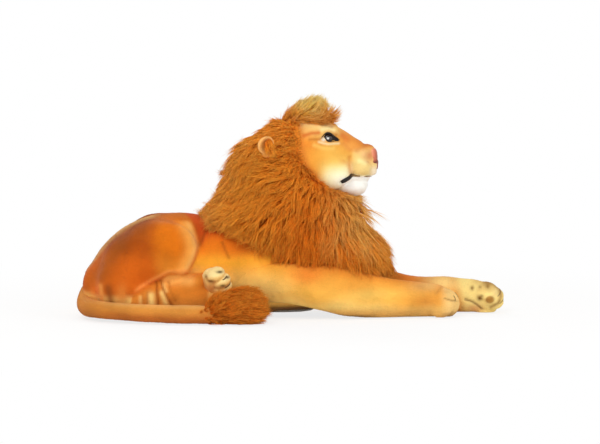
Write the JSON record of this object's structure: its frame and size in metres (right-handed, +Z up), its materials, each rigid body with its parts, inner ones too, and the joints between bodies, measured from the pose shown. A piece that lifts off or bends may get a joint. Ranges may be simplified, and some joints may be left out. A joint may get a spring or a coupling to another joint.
{
  "type": "plush lion",
  "caption": "Lying plush lion with a stuffed body, a shaggy mane over a turning head, soft folding ears, spreading forelegs and a swinging tufted tail.",
  "frame": {"origin": "middle of the belly on the floor, at the flat underside of the torso", "axes": "+X towards the face and forepaws, +Y towards the lion's left side, +Z up"},
  "size_m": [0.6006, 0.2398, 0.309],
  "materials": {
    "short_pile": "short brushed pile, sprayed red-brown on the back and orange on the sides",
    "leg_pile": "short brushed pile, orange above and yellow below",
    "face_pile": "short brushed pile, orange with brown shading round the eyes",
    "pale_pile": "short brushed cream pile",
    "white_pile": "short brushed off-white pile",
    "paw_pile": "short brushed cream pile with brown shading",
    "ear_pile": "short brushed pile",
    "long_pile": "long shaggy pile",
    "nose_cloth": "smooth red-brown plush",
    "dark_felt": "matte dark brown felt",
    "black_thread": "dark embroidery thread",
    "eye_plastic": "glossy black plastic",
    "washer_plastic": "plain moulded plastic",
    "fibre_fill": "loose white polyester fibre"
  },
  "bodies": {
    "torso": {"torso_skin": "short_pile", "torso_fill": "fibre_fill", "mane_collar": "long_pile", "haunch_left": "short_pile", "haunch_right": "short_pile", "hind_foot_left": "leg_pile", "hind_foot_right": "leg_pile", "hind_paw_left": "paw_pile", "hind_paw_right": "paw_pile", "toe_stitch_hind_left_1": "black_thread", "toe_stitch_hind_left_2": "black_thread", "toe_stitch_hind_left_3": "black_thread", "toe_stitch_hind_right_1": "black_thread", "toe_stitch_hind_right_2": "black_thread", "toe_stitch_hind_right_3": "black_thread"},
    "head": {"head_skin": "face_pile", "head_fill": "fibre_fill", "muzzle": "pale_pile", "chin": "white_pile", "nose": "nose_cloth", "mouth_cord": "black_thread", "eye_left": "eye_plastic", "eye_right": "eye_plastic", "eye_washer_left": "washer_plastic", "eye_washer_right": "washer_plastic", "eye_liner_left": "dark_felt", "eye_liner_right": "dark_felt", "mane_crown": "long_pile", "forelock": "long_pile"},
    "ear_left": {"ear_left": "ear_pile", "ear_lining_left": "pale_pile"},
    "ear_right": {"ear_right": "ear_pile", "ear_lining_right": "pale_pile"},
    "foreleg_left": {"foreleg_left": "leg_pile", "forepaw_left": "paw_pile", "toe_stitch_fore_left_1": "black_thread", "toe_stitch_fore_left_2": "black_thread", "toe_stitch_fore_left_3": "black_thread"},
    "foreleg_right": {"foreleg_right": "leg_pile", "forepaw_right": "paw_pile", "toe_stitch_fore_right_1": "black_thread", "toe_stitch_fore_right_2": "black_thread", "toe_stitch_fore_right_3": "black_thread"},
    "tail": {"tail": "leg_pile", "tail_tuft": "long_pile"}
  },
  "joints": [
    {"name": "head_turn", "type": "hinge", "parent": "torso", "child": "head", "pos_m": [0.1, 0, 0.15], "axis": [0, 0, 1], "range_deg": [-15, 15], "stiffness_Nm_per_rad": 0.5},
    {"name": "ear_left_fold", "type": "hinge", "parent": "head", "child": "ear_left", "pos_m": [0.07602, 0.07059, 0.23124], "axis": [-0.7442, 0.4568, -0.4873], "range_deg": [-8, 18], "stiffness_Nm_per_rad": 0.02},
    {"name": "ear_right_fold", "type": "hinge", "parent": "head", "child": "ear_right", "pos_m": [0.07602, -0.07059, 0.23124], "axis": [0.7442, 0.4568, 0.4873], "range_deg": [-8, 18], "stiffness_Nm_per_rad": 0.02},
    {"name": "foreleg_left_spread", "type": "hinge", "parent": "torso", "child": "foreleg_left", "pos_m": [0.1, 0.054, 0.04], "axis": [0, 0, 1], "range_deg": [0, 12], "stiffness_Nm_per_rad": 0.5},
    {"name": "foreleg_right_spread", "type": "hinge", "parent": "torso", "child": "foreleg_right", "pos_m": [0.1, -0.054, 0.04], "axis": [0, 0, -1], "range_deg": [0, 12], "stiffness_Nm_per_rad": 0.5},
    {"name": "tail_swing", "type": "hinge", "parent": "torso", "child": "tail", "pos_m": [-0.16848, 0, 0.034], "axis": [0, 0, -1], "range_deg": [0, 45], "stiffness_Nm_per_rad": 0.05}
  ]
}
